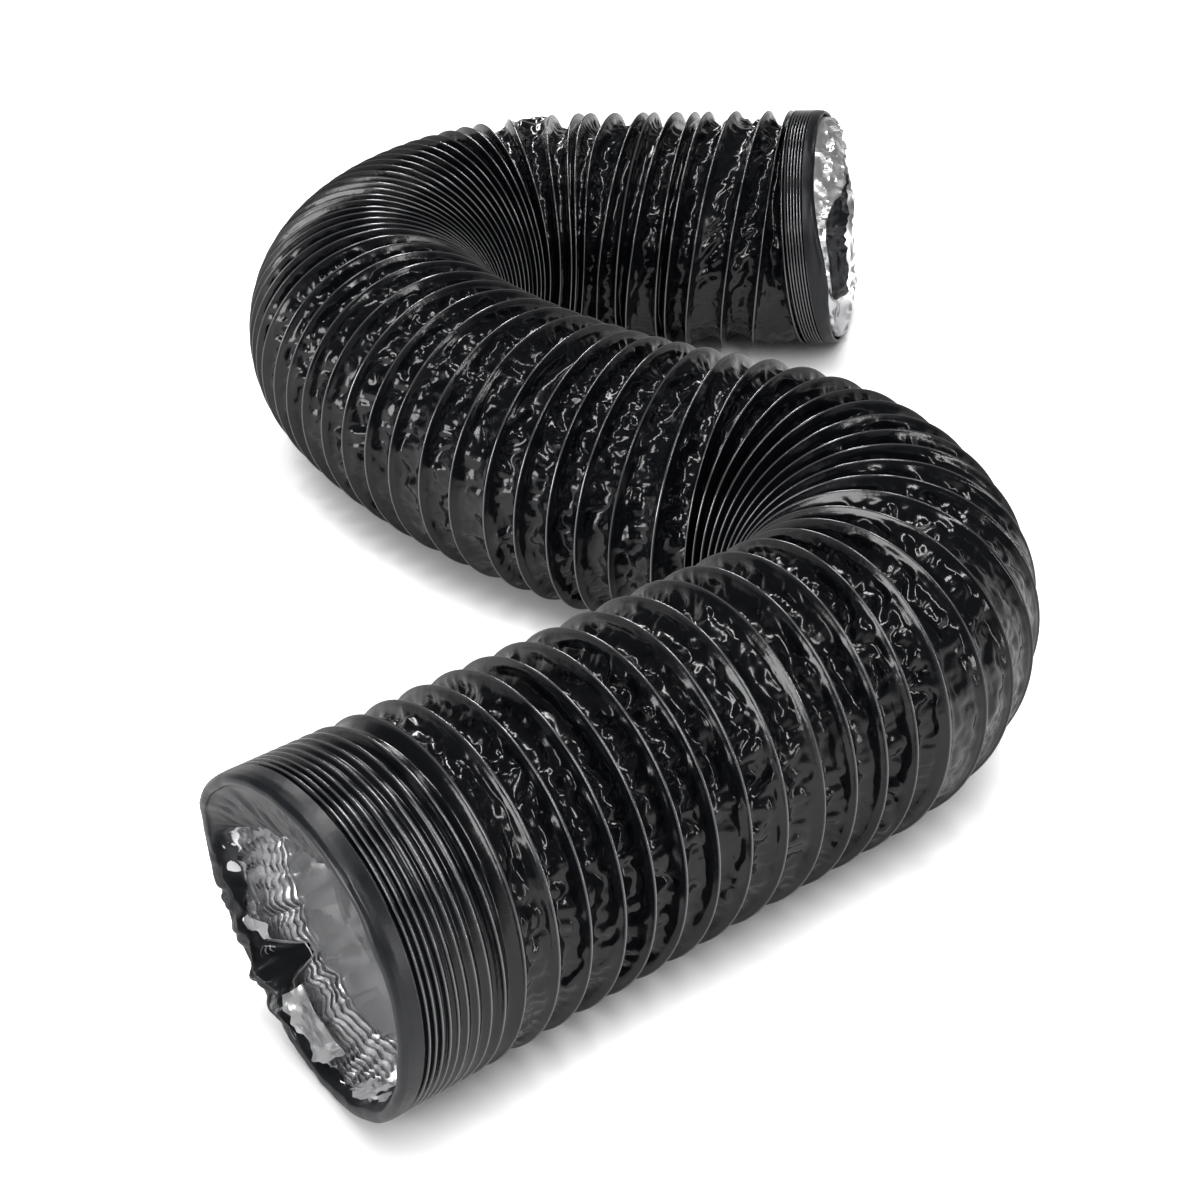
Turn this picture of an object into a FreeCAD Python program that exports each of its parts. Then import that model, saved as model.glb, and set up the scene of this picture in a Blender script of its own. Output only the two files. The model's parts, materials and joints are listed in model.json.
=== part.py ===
"""Flexible air duct, 200 mm nominal: film jacket, wire helix and foil liner in an S on the floor.

The duct is one long ribbed hose. Its route is a straight run, two bends with a gentle bow between
them, and a short straight. Joints need rigid pieces, so its three layers are cut into sections at
whole turns of the wire: stiff ones, and folds between them that give when the duct moves.
Lengths are in millimetres and angles in degrees. The floor is z = 0.
"""
import FreeCAD, Part
import math
import os

Vector = FreeCAD.Vector

# Driving dimensions: alias, value, meaning
SIZES = (
    ("facets", 16, "flats round the duct, one of them on the floor"),
    ("cuff_bore", 102.0, "radius that slides over a 200 mm spigot"),
    ("cuff_fold", 1.0, "depth of the folds between packed turns"),
    ("run_fold", 12.0, "depth of the folds from the near run to the far bend"),
    ("far_fold", 14.0, "depth of the folds in the far run"),
    ("film_wall", 1.7, "jacket at the cuffs, and what is left of it under a fold"),
    ("foil_wall", 0.8, "liner wall"),
    ("wire_size", 1.5, "across the wire"),
    ("wire_steps", 10, "straight pieces in a turn of wire away from the cuffs"),
    ("wire_setback", 0.1, "wire left off at each end of a section"),
    ("cuff_wire_cover", 0.3, "film over the wire where the turns are packed"),
    ("run_wire_cover", 1.5, "film over the wire away from the cuffs"),
    ("start_heading", 40.3, "direction of the near run in plan, from +X"),
    ("near_cuff_turns", 8, "packed turns at the near mouth"),
    ("near_cuff_pitch", 3.5, "their spacing"),
    ("opening_turns", 4, "turns that spread from the near cuff"),
    ("opening_pitch", 8.6, "their spacing"),
    ("near_run_turns", 14, "turns in the near run"),
    ("near_run_pitch", 23.2, "their spacing"),
    ("near_bend_turns", 14, "turns in the near bend"),
    ("near_bend_radius", 147.0, "centreline radius of the near bend"),
    ("near_bend_angle", 119.3, "turn of the near bend, to the left"),
    ("middle_turns", 14, "turns in the middle run"),
    ("middle_radius", 482.0, "centreline radius of the middle run's bow"),
    ("middle_angle", 41.1, "turn of the middle run, to the right"),
    ("far_bend_turns", 27, "turns in the far bend"),
    ("far_bend_radius", 187.0, "centreline radius of the far bend"),
    ("far_bend_angle", 116.3, "turn of the far bend, to the right"),
    ("far_run_turns", 9, "turns in the far run"),
    ("far_run_pitch", 18.8, "their spacing"),
    ("far_cuff_turns", 7, "packed turns at the far mouth"),
    ("far_cuff_pitch", 3.6, "their spacing"),
    ("wire_margin", 3.0, "film past the first and the last turn"),
    ("near_rim", 9.0, "plain film and foil at the near mouth"),
    ("far_film_skirt", 26.0, "plain film at the far mouth"),
    ("far_foil_skirt", 36.0, "plain foil at the far mouth"),
    ("ring_step", 14.0, "most turn of a bend between two rings of the bore"),
)

doc = FreeCAD.newDocument("flexible_air_duct")
sheet = doc.addObject("Spreadsheet::Sheet", "Sizes")
for row, (alias, value, meaning) in enumerate(SIZES, start=1):
    sheet.set(f"A{row}", alias)
    sheet.set(f"B{row}", str(value))
    sheet.set(f"C{row}", meaning)
    sheet.setAlias(f"B{row}", alias)
doc.recompute()


def size(alias):
    """A driving dimension from the sheet."""
    return float(sheet.get(alias))


def count(alias):
    """A driving number of turns or flats from the sheet."""
    return round(size(alias))


FACETS = count("facets")
CORNER = 1 / math.cos(math.pi / FACETS)
SEAM = math.pi / FACETS - math.pi / 2
CUFF_FILM_BORE = size("cuff_bore") + size("foil_wall")
CREST = CUFF_FILM_BORE + size("film_wall")


# Stretches of the route: turns of wire, length along the axis, turn in plan (left is positive)
def straight(name):
    """A straight stretch with its own pitch."""
    turns = count(f"{name}_turns")
    return name, turns, turns * size(f"{name}_pitch"), 0.0


def arc(name, way):
    """A stretch round an arc, to the left or to the right."""
    angle = math.radians(size(f"{name}_angle"))
    return name, count(f"{name}_turns"), angle * size(f"{name}_radius"), way * angle


LEFT, RIGHT = 1, -1
STRETCHES = (
    straight("near_cuff"),
    straight("opening"),
    straight("near_run"),
    arc("near_bend", LEFT),
    arc("middle", RIGHT),
    arc("far_bend", RIGHT),
    straight("far_run"),
    straight("far_cuff"),
)


def route_marks():
    """Start of each stretch: its first turn and station, then its turns, length and turn in plan."""
    marks, turn, station = {}, 0, 0.0
    for name, turns, length, bend in STRETCHES:
        marks[name] = (turn, station, turns, length, bend)
        turn += turns
        station += length
    return marks, turn, station


MARKS, TURNS, LENGTH = route_marks()


def turn_at(name):
    """Turn of the wire at which a stretch starts."""
    return MARKS[name][0]


def station_at(name):
    """Distance along the axis at which a stretch starts."""
    return MARKS[name][1]


def station_of(turn):
    """Distance along the axis at which the wire has made so many turns."""
    for first, start, turns, length, bend in MARKS.values():
        if turn <= first + turns:
            break
    return start + (turn - first) * length / turns


def centre_at(station):
    """Axis point and heading at a distance along the route."""
    x, y, heading = 0.0, 0.0, math.radians(size("start_heading"))
    for name, (first, start, turns, length, bend) in MARKS.items():
        here = station < start + length or name == "far_cuff"
        run = station - start if here else length
        if bend:
            radius = length / bend
            onward = heading + run / radius
            x += radius * (math.sin(onward) - math.sin(heading))
            y -= radius * (math.cos(onward) - math.cos(heading))
            heading = onward
        else:
            x += run * math.cos(heading)
            y += run * math.sin(heading)
        if here:
            break
    return x, y, heading


def point(station, angle, radius):
    """Point round the axis: angle 0 is on the left of the route, a quarter turn is on top."""
    x, y, heading = centre_at(station)
    side, up = radius * math.cos(angle), radius * math.sin(angle)
    return Vector(x - side * math.sin(heading), y + side * math.cos(heading), up)


# Profiles along the duct: folds and bores change only where the route is straight
def profile(cuff, run, far):
    """Stations and values of a profile that is straight from one to the next."""
    return (
        (station_at("near_cuff"), cuff),
        (station_at("opening"), cuff),
        (station_at("near_run"), run),
        (station_at("far_run"), run),
        (station_of(turn_at("far_run") + 2), far),
        (station_of(turn_at("far_cuff") - 2), far),
        (station_at("far_cuff"), cuff),
        (LENGTH, cuff),
    )


def value_at(station, nodes):
    """Value of a profile at a station."""
    for (low, before), (high, after) in zip(nodes, nodes[1:]):
        if station <= high:
            return before + (after - before) * max(0.0, station - low) / (high - low)
    return nodes[-1][1]


VALLEYS = profile(CREST - size("cuff_fold"), CREST - size("run_fold"), CREST - size("far_fold"))
FILM_BORES = profile(
    CUFF_FILM_BORE,
    CREST - size("run_fold") - size("film_wall"),
    CREST - size("far_fold") - size("film_wall"),
)
WIRE_TOPS = profile(
    CORNER * (CREST - size("cuff_wire_cover")),
    CREST - size("run_wire_cover"),
    CREST - size("run_wire_cover"),
)


# Corners of the jacket, counted in steps of one flat along the wire
def step_angle(step):
    """Angle of a corner: the helix is left-handed and starts beside the lowest flat."""
    return SEAM - 2 * math.pi * step / FACETS


def crest(step):
    """Corner of the crest line, which follows the wire."""
    return point(station_of(step / FACETS), step_angle(step), CREST * CORNER)


def valley(step):
    """Corner of the fold line, halfway to the next turn."""
    turn = step / FACETS
    station = (station_of(turn) + station_of(turn + 1)) / 2
    return point(station, step_angle(step), value_at(station, VALLEYS) * CORNER)


def ring(station, radius):
    """Corners of a flat ring square to the axis, the first one again at the end."""
    return [point(station, step_angle(step), radius * CORNER) for step in range(FACETS + 1)]


# Faces and solids
def flat_face(*corners):
    """Flat face on its corners."""
    return Part.Face(Part.makePolygon([*corners, corners[0]]))


def band(one, other):
    """Triangles between two rows of corners."""
    faces = []
    for a, b, c, d in zip(one, one[1:], other[1:], other):
        faces.append(flat_face(a, b, c))
        faces.append(flat_face(a, c, d))
    return faces


def tube_faces(rings):
    """Flat quads between rings of a tube."""
    faces = []
    for one, other in zip(rings, rings[1:]):
        faces += [flat_face(a, b, c, d) for a, b, c, d in zip(one, one[1:], other[1:], other)]
    return faces


def fan(hub, corners):
    """Triangles from one corner to a row of others."""
    return [flat_face(hub, a, b) for a, b in zip(corners, corners[1:])]


def closed_solid(faces):
    """Solid inside a closed set of faces."""
    solid = Part.Solid(Part.Shell(faces))
    if solid.Volume < 0:
        solid.reverse()
    return solid


def bore_stations(start, end):
    """Stations of the bore's rings: the ends, changes of profile and steps round the bends."""
    stations = {start, end}
    stations.update(station for station, radius in FILM_BORES if start < station < end)
    for first, begin, turns, length, bend in MARKS.values():
        low, high = max(start, begin), min(end, begin + length)
        if bend and low < high:
            turned = math.degrees(abs(bend)) * (high - low) / length
            steps = math.ceil(turned / size("ring_step"))
            stations.update(low + (high - low) * k / steps for k in range(steps + 1))
    kept = []
    for station in sorted(stations):
        if not kept or station - kept[-1] > 0.01:
            kept.append(station)
    return kept


def section_span(first, last):
    """Stations between which a section's bore runs."""
    start = station_of(first) if first else -size("wire_margin")
    end = station_of(last) if last < TURNS else LENGTH + size("wire_margin")
    return start, end


def cut_wall(turn, bore_ring):
    """Wall where a jacket is cut: from one turn of the fold line in to the bore."""
    line = [valley(step) for step in range(FACETS * (turn - 1), FACETS * turn + 1)]
    return band(line, bore_ring) + fan(bore_ring[0], [line[0], crest(FACETS * turn), line[-1]])


def near_mouth_wall(rim, bore_ring):
    """End of the jacket where the first turn of wire leaves the rim."""
    line = [crest(step) for step in range(FACETS + 1)]
    closing = fan(rim[-2], [line[-2], line[-1], valley(0), line[0], rim[0]])
    return band(rim, bore_ring) + band(rim[:-1], line[:-1]) + closing


def far_mouth_wall(rim, bore_ring):
    """End of the jacket where the last turn of wire meets the rim."""
    start = FACETS * (TURNS - 1)
    line = [crest(step) for step in range(start, start + FACETS + 1)]
    closing = fan(rim[1], [line[1], line[0], valley(start), line[-1], rim[0]])
    return band(rim, bore_ring) + band(rim[1:], line[1:]) + closing


def jacket_shape(first, last):
    """Film over some turns of wire, folded inward between them."""
    start, end = section_span(first, last)
    rings = [ring(station, value_at(station, FILM_BORES)) for station in bore_stations(start, end)]
    rising = range(FACETS * max(first, 1), FACETS * last + 1)
    falling = range(FACETS * first, FACETS * min(last, TURNS - 1) + 1)
    faces = tube_faces(rings)
    faces += band([valley(step - FACETS) for step in rising], [crest(step) for step in rising])
    faces += band([crest(step) for step in falling], [valley(step) for step in falling])
    if first:
        faces += cut_wall(first, rings[0])
    else:
        faces += near_mouth_wall(ring(start, CREST), rings[0])
    if last < TURNS:
        faces += cut_wall(last, rings[-1])
    else:
        faces += far_mouth_wall(ring(end, CREST), rings[-1])
    return closed_solid(faces)


def liner_shape(first, last):
    """Foil tube bonded inside the film."""
    stations = bore_stations(*section_span(first, last))
    outer = [ring(station, value_at(station, FILM_BORES)) for station in stations]
    inner = [
        ring(station, value_at(station, FILM_BORES) - size("foil_wall")) for station in stations
    ]
    faces = tube_faces(outer) + tube_faces(inner)
    faces += tube_faces([outer[0], inner[0]]) + tube_faces([outer[-1], inner[-1]])
    return closed_solid(faces)


def wire_corners(turn):
    """Cross-section of the wire: a triangle with its point outward."""
    station = station_of(turn)
    angle = SEAM - 2 * math.pi * turn
    top = value_at(station, WIRE_TOPS)
    half = size("wire_size") / 2
    base = top - half * math.sqrt(3)
    return (
        point(station, angle, top),
        point(station + half, angle, base),
        point(station - half, angle, base),
    )


def wire_shape(first, last, steps):
    """One unbroken helix of wire under the crest line."""
    setback = size("wire_setback") / (2 * math.pi * CREST)
    turns = [k / steps for k in range(steps * first, steps * last + 1)]
    turns[0] += setback
    turns[-1] -= setback
    rows = [wire_corners(turn) for turn in turns]
    faces = [flat_face(*rows[0]), flat_face(*rows[-1])]
    for k in range(3):
        faces += band([row[k] for row in rows], [row[(k + 1) % 3] for row in rows])
    return closed_solid(faces)


def least_wire_gap(samples=24):
    """Smallest space between neighbouring turns, measured on points along the wire."""
    line = []
    for k in range(samples * TURNS + 1):
        station = station_of(k / samples)
        angle = SEAM - 2 * math.pi * k / samples
        line.append(point(station, angle, value_at(station, WIRE_TOPS)))
    spread = range(-samples // 4, samples // 4 + 1)
    gaps = []
    for k, here in enumerate(line):
        near = [line[k + samples + j] for j in spread if k + samples + j < len(line)]
        gaps += [here.distanceToPoint(other) for other in near]
    return min(gaps) - size("wire_size")


# Sub-parts as objects of the document
PIECES = []


def formed_piece(name, shape):
    """Sub-part whose faces follow the helix and the route, which no sketch feature gives."""
    piece = doc.addObject("Part::Feature", name)
    piece.Label = name
    piece.Shape = shape
    PIECES.append(piece)


def across_axis(station):
    """Placement on the axis: z forward, y up, x to the left."""
    x, y, heading = centre_at(station)
    left = Vector(-math.sin(heading), math.cos(heading), 0)
    forward = Vector(math.cos(heading), math.sin(heading), 0)
    return FreeCAD.Placement(Vector(x, y, 0), FreeCAD.Rotation(left, Vector(0, 0, 1), forward))


def set_prism(prism, radius, length):
    """Bind a prism whose flats stand at a radius, one of them lowest."""
    prism.setExpression("Polygon", "Sizes.facets")
    prism.setExpression("Circumradius", f"({radius}) / cos(180 / Sizes.facets)")
    prism.setExpression("Height", length)
    prism.Placement.Rotation = FreeCAD.Rotation(Vector(0, 0, 1), 180 / FACETS - 90)


def mouth_tube(name, outer, inner, length, station, round_bore):
    """Plain end of a layer, with flats outside and a faceted or a true round bore."""
    body = doc.addObject("Part::Prism", f"{name}_body")
    set_prism(body, outer, length)
    if round_bore:
        bore = doc.addObject("Part::Cylinder", f"{name}_bore")
        bore.setExpression("Radius", inner)
        bore.setExpression("Height", length)
    else:
        bore = doc.addObject("Part::Prism", f"{name}_bore")
        set_prism(bore, inner, length)
    tube = doc.addObject("Part::Cut", name)
    tube.Label = name
    tube.Base = body
    tube.Tool = bore
    tube.Placement = across_axis(station)
    PIECES.append(tube)


# Sections in order: name, then the stretch and the turn in it where the section ends
def part_way(name, share):
    """Turn of the wire nearest to a share of a stretch."""
    return turn_at(name) + round(MARKS[name][2] * share)


SECTION_ENDS = (
    ("near_end", turn_at("near_run")),
    ("near_stretch_flex", part_way("near_run", 4 / 14)),
    ("near_run", turn_at("near_bend")),
    ("near_bend_in_flex", part_way("near_bend", 5 / 14)),
    ("near_bend", part_way("near_bend", 9 / 14)),
    ("near_bend_out_flex", turn_at("middle")),
    ("mid_run_near", part_way("middle", 5 / 14)),
    ("middle_flex", part_way("middle", 9 / 14)),
    ("mid_run_far", turn_at("far_bend")),
    ("far_bend_in_flex", part_way("far_bend", 1 / 3)),
    ("far_bend", part_way("far_bend", 2 / 3)),
    ("far_bend_out_flex", turn_at("far_run")),
    ("far_run", part_way("far_run", 1 / 3)),
    ("far_stretch_flex", part_way("far_run", 2 / 3)),
    ("far_end", TURNS),
)
CUFFED = ("near_end", "far_end")


def make_sections():
    """Jacket, wire and liner of every section."""
    first = 0
    for name, last in SECTION_ENDS:
        steps = FACETS if name in CUFFED else count("wire_steps")
        formed_piece(f"jacket_{name}", jacket_shape(first, last))
        formed_piece(f"wire_{name}", wire_shape(first, last, steps))
        formed_piece(f"liner_{name}", liner_shape(first, last))
        first = last


def make_mouths():
    """Plain film and foil past the wire at both mouths."""
    margin = size("wire_margin")
    film_bore = "Sizes.cuff_bore + Sizes.foil_wall"
    film_outside = f"{film_bore} + Sizes.film_wall"
    near = -margin - size("near_rim")
    far = LENGTH + margin
    for name, station, film, foil in (
        ("near", near, "Sizes.near_rim", "Sizes.near_rim"),
        ("far", far, "Sizes.far_film_skirt", "Sizes.far_foil_skirt"),
    ):
        mouth_tube(f"jacket_{name}_mouth", film_outside, film_bore, film, station, False)
        mouth_tube(f"liner_{name}_mouth", film_bore, "Sizes.cuff_bore", foil, station, True)


def rest_on_floor():
    """Stand the duct on z = 0 with the middle of its outline over the origin."""
    doc.recompute()
    box = FreeCAD.BoundBox()
    for piece in PIECES:
        box.add(piece.Shape.BoundBox)
    middle = box.Center
    offset = FreeCAD.Placement(Vector(-middle.x, -middle.y, CREST), FreeCAD.Rotation())
    for piece in PIECES:
        piece.Placement = offset * piece.Placement
    doc.recompute()
    return offset.Base


def check_pieces():
    """Stop unless every object is up to date and every sub-part is one valid solid."""
    for item in doc.Objects:
        if "Invalid" in item.State or "Error" in item.State:
            raise RuntimeError(f"{item.Label} is not up to date: {item.State}")
    for piece in PIECES:
        shape = piece.Shape
        if shape.isNull() or not shape.isValid() or len(shape.Solids) != 1:
            raise RuntimeError(f"{piece.Label} is not one valid solid")


def write_pieces():
    """Write each sub-part to its own file."""
    os.makedirs("parts", exist_ok=True)
    for piece in PIECES:
        piece.Shape.exportStep(f"parts/{piece.Label}.step")


make_sections()
make_mouths()
offset = rest_on_floor()
check_pieces()
write_pieces()

gap = least_wire_gap()
if gap < 0.4:
    raise RuntimeError(f"turns of wire are only {gap:.2f} mm apart")
print(f"turns {TURNS}, length {LENGTH:.1f} mm, origin of the route at {offset}")
print(f"least gap between turns of wire {gap:.2f} mm")
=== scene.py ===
"""Flexible air duct in an S: crumpled black film over a wire helix, bright foil inside.

Lengths are in metres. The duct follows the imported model's route: it starts at the record's near
mouth and runs through the same straights and bends. Stations are distances along its axis, and
turns are counted along the wire from the near mouth.
"""
import json
import math

import bpy
import numpy as np
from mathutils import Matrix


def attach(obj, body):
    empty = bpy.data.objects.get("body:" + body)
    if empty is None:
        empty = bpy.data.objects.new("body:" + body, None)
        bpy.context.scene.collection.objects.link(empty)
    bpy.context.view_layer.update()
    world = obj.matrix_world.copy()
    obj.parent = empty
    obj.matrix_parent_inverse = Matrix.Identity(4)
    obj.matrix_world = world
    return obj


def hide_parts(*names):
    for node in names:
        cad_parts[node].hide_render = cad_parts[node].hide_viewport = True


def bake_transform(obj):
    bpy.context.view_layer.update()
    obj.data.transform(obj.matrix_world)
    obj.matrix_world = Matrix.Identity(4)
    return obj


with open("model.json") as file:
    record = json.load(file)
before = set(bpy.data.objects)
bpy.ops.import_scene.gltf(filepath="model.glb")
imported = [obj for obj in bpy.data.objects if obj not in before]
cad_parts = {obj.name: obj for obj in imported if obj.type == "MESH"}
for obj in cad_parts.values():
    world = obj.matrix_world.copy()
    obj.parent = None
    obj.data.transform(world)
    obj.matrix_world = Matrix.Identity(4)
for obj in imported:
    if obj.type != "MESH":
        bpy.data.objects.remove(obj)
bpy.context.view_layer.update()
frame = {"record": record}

bl_info = {
    "name": "Flexible air duct",
    "version": (1, 0, 0),
    "blender": (4, 5, 0),
    "location": "View3D > Sidebar > Duct",
    "description": "Builds the dressed duct round its packed model",
    "category": "Object",
}

MM = 0.001
MOUNTS = {mount["name"]: mount for mount in frame["record"]["mounts"]}

# The duct rests on the floor, so its axis is one crest radius up
CREST_RADIUS = MOUNTS["near_mouth"]["pos_m"][2]
CREST_MM = CREST_RADIUS / MM
# From the near mouth's place in the record in to the first turn of wire
NEAR_RIM_MIDDLE = 0.0075
# Route: a straight, then each bend's radius and its turn in degrees, positive to the left
NEAR_STRAIGHT = 0.3872
BENDS = ((0.147, 119.3), (0.482, -41.1), (0.187, -116.3))

# Gaps between turns of wire in millimetres, read along the duct from its near mouth
CUFF_GAPS = (4.0, 4.2, 4.4, 4.8, 5.2, 5.8, 6.8, 8.0, 8.9, 10.3)
NEAR_RUN_GAPS = (23, 23, 23, 24, 23, 23, 25, 27, 31, 27, 25, 26, 26, 22)
NEAR_BEND_GAPS = (22, 25, 25, 23, 21, 22, 20, 21, 19, 21, 21, 21, 21, 24)
MIDDLE_GAPS = (27, 21, 19, 23, 23, 27, 25, 26, 24, 23, 25, 25, 21, 21)
FAR_BEND_GAPS = (18, 11, 13.5, 12.5, 11.5) + (12.9,) * 17 + (26, 31, 10.5, 7.5, 31)
FAR_RUN_GAPS = (21, 4.5, 30.5, 5, 17, 31, 28, 31, 4)
FAR_CUFF_GAPS = (2.6,) * 7
WIRE_GAPS = (CUFF_GAPS + NEAR_RUN_GAPS + NEAR_BEND_GAPS + MIDDLE_GAPS + FAR_BEND_GAPS
             + FAR_RUN_GAPS + FAR_CUFF_GAPS)
WIRE_STATIONS = np.concatenate(([0.0], np.cumsum(WIRE_GAPS))) * MM
TURNS = len(WIRE_GAPS)
NEAR_CUFF_TURN = len(CUFF_GAPS)
FAR_CUFF_TURN = TURNS - len(FAR_CUFF_GAPS)

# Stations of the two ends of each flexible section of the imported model
FOLDS = {
    "near_stretch": (0.0624, 0.1552),
    "near_bend_in": (0.3872, 0.4965),
    "near_bend_out": (0.5840, 0.6933),
    "middle": (0.8168, 0.9156),
    "far_bend_in": (1.0390, 1.1656),
    "far_bend_out": (1.2921, 1.4186),
    "far_stretch": (1.4750, 1.5314),
}
# Lengths of film: name, first and last turn, the bodies at its ends and its flexible section
LENGTHS = (
    ("near_cuff", 0, 10, "near_end", None, None),
    ("near_stretch", 10, 19, "near_end", "near_run", "near_stretch"),
    ("near_bend_in", 19, 29, "near_run", "near_bend", "near_bend_in"),
    ("near_bend_out", 29, 38, "near_bend", "mid_run_near", "near_bend_out"),
    ("middle", 38, 47, "mid_run_near", "mid_run_far", "middle"),
    ("mid_run", 47, 51, "mid_run_far", None, None),
    ("far_bend_in", 51, 62, "mid_run_far", "far_bend", "far_bend_in"),
    ("far_bend", 62, 70, "far_bend", None, None),
    ("far_bend_out", 70, 80, "far_bend", "far_run", "far_bend_out"),
    ("far_stretch", 80, 88, "far_run", "far_end", "far_stretch"),
    ("far_cuff", 88, TURNS, "far_end", None, None),
)
# Where each turn starts, just off the lowest point
SEAM_ANGLE = -0.44 * math.pi
OWN_LENGTH = [body for _, _, _, body, _, fold in LENGTHS if fold is None]


def legs():
    """Start, length and curvature of each leg of the route; left turns are positive."""
    found = [(0.0, NEAR_STRAIGHT, 0.0)]
    station = NEAR_STRAIGHT
    for radius, angle in BENDS:
        length = radius * math.radians(abs(angle))
        found.append((station, length, math.copysign(1 / radius, angle)))
        station += length
    return found + [(station, 1.0, 0.0)]


LEGS = legs()


def route_start():
    """Axis point and heading at the first turn, from the record's near mouth."""
    mouth = MOUNTS["near_mouth"]
    out = mouth["axis"]
    x, y, _ = (p - NEAR_RIM_MIDDLE * a for p, a in zip(mouth["pos_m"], out))
    return x, y, math.atan2(-out[1], -out[0])


def centre_at(station):
    """Axis points and headings at stations along the route."""
    x0, y0, heading0 = route_start()
    x, y = np.full_like(station, x0), np.full_like(station, y0)
    heading = np.full_like(station, heading0)
    for start, length, curvature in LEGS:
        low = -1.0 if start == 0.0 else 0.0
        run = np.clip(station - start, low, length)
        if curvature:
            turned = run * curvature
            ahead, aside = np.sin(turned) / curvature, (1 - np.cos(turned)) / curvature
        else:
            turned, ahead, aside = 0.0, run, 0.0
        x += ahead * np.cos(heading) - aside * np.sin(heading)
        y += ahead * np.sin(heading) + aside * np.cos(heading)
        heading = heading + turned
    return x, y, heading


def curvature_at(station):
    """Curvature of the route, eased where a bend starts or ends."""
    ease = 0.03
    total = np.zeros_like(station)
    for start, length, curvature in LEGS:
        total += curvature * (smooth(start - ease, start + ease, station)
                              - smooth(start + length - ease, start + length + ease, station))
    return total


def smooth(low, high, value):
    """0 before low, 1 after high and a soft step between."""
    share = np.clip((value - low) / (high - low), 0, 1)
    return share * share * (3 - 2 * share)


# Repeatable noise: u and v count its cells, and each salt has its own pattern
def scatter(column, row, salt):
    """Repeatable values from 0 to 1, one for each cell."""
    mixed = np.sin(column * 127.1 + row * 311.7 + salt * 74.7) * 43758.5453
    return mixed - np.floor(mixed)


def in_cell(column, row, fu, fv, salt):
    """Value from -1 to 1 at shares of the way across a cell."""
    near = scatter(column, row, salt) * (1 - fu) + scatter(column + 1, row, salt) * fu
    far = scatter(column, row + 1, salt) * (1 - fu) + scatter(column + 1, row + 1, salt) * fu
    return 2 * (near * (1 - fv) + far * fv) - 1


def wave(u, v, salt):
    """Soft noise from -1 to 1 on a square grid of cells."""
    column, row = np.floor(u), np.floor(v)
    fu, fv = u - column, v - row
    return in_cell(column, row, fu * fu * (3 - 2 * fu), fv * fv * (3 - 2 * fv), salt)


def zigzag(u, v, salt):
    """Angular noise from -1 to 1, straight from one fold to the next."""
    column, row = np.floor(u), np.floor(v)
    return in_cell(column, row, u - column, v - row, salt)


def crumple(u, v, salt):
    """Creased noise from -1 to 1: rounded hollows between sharp folds."""
    broad = 1 - 2 * np.abs(wave(u, v, salt))
    fine = 1 - 2 * np.abs(wave(2.3 * u + 5.1, 2.3 * v + 1.7, salt + 1))
    return 0.68 * broad + 0.32 * fine


# How far a free turn strays along the axis, and the first turn that is quite free
TURN_WANDER = 0.0011
FREE_FROM = NEAR_CUFF_TURN + 3
# Stations over which the far rings begin to swing aside and to lean down, and by how much
SWUNG_STATIONS = (1.24, 1.40)
SUNK_STATIONS = (1.30, 1.42)
SUNK_SLOPE = 0.05
# Dent of the near mouth: its side, its depth and the stations over which it ends
DENT_SIDE = math.radians(322)
DENT_DEPTH = 0.011
DENT_STATIONS = (0.002, 0.05)
# Film between two gathered turns
GATHERED_WIDTH = 0.009


def station_of(turn):
    """Station of the wire's crest, with a little wander where the turns stand apart."""
    station = np.interp(turn, np.arange(TURNS + 1), WIRE_STATIONS)
    near = smooth(NEAR_CUFF_TURN, FREE_FROM, turn)
    far = 1 - smooth(FAR_CUFF_TURN - 3, FAR_CUFF_TURN - 1, turn)
    return station + TURN_WANDER * (near * far) * wave(turn * 1.7, 0 * turn, 3)


def lean_of(station, sizes):
    """How far the far rings lean: aside towards the camera, and upward at the cuff."""
    aside = smooth(*SWUNG_STATIONS, station) * math.tan(sizes.far_cuff_swing)
    cuff = smooth(WIRE_STATIONS[FAR_CUFF_TURN - 2], WIRE_STATIONS[FAR_CUFF_TURN + 1], station)
    upward = cuff * math.tan(sizes.far_cuff_lift) - smooth(*SUNK_STATIONS, station) * SUNK_SLOPE
    return aside, upward


def dent_of(station, angle):
    """How far the near mouth is pushed in on its lower left."""
    side = np.clip(np.cos(angle - DENT_SIDE), 0, 1) ** 1.4
    return DENT_DEPTH * side * (1 - smooth(*DENT_STATIONS, station))


def place(station, angle, radius, sizes):
    """Points in the frame from stations, angles round the axis and radii."""
    swing, lift = lean_of(station, sizes)
    station = station + dent_of(station, angle)
    across, up = radius * np.cos(angle), radius * np.sin(angle)
    x, y, heading = centre_at(station + swing * across - lift * up)
    return np.stack((x - across * np.sin(heading), y + across * np.cos(heading),
                     CREST_RADIUS + up), axis=-1)


def slack_width(turn, sizes):
    """Width of film between two turns: what the cuffs have gathered is taken in."""
    near = smooth(NEAR_CUFF_TURN - 4, FREE_FROM, turn)
    far = 1 - smooth(FAR_CUFF_TURN - 2, FAR_CUFF_TURN, turn)
    return GATHERED_WIDTH + (sizes.film_width - GATHERED_WIDTH) * (near * far)


# How far aside and down the film's first rows lie where it wraps the wire, in bead radii
BEAD = ((0.0, 0.0), (0.8, 0.4), (1.0, 1.4))
BEAD_ROWS = len(BEAD) - 1
# Depth of a fold as a share of a sharp one's, and the least depth
FOLD_SHARE = 0.8
LEAST_FOLD = 0.0005
# Springs: step, share of speed kept, rows held at the wire and passes from wall to wall
SPRING_STEP = 0.3
SPEED_KEPT = 0.9
HELD_ROWS = 3
PASSES_TO_WALL = 6
# Film to foil beside the wire, and what the middle of a fold adds
LINING_GAP = 0.0006
LINING_SLACK = 0.0026


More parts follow.
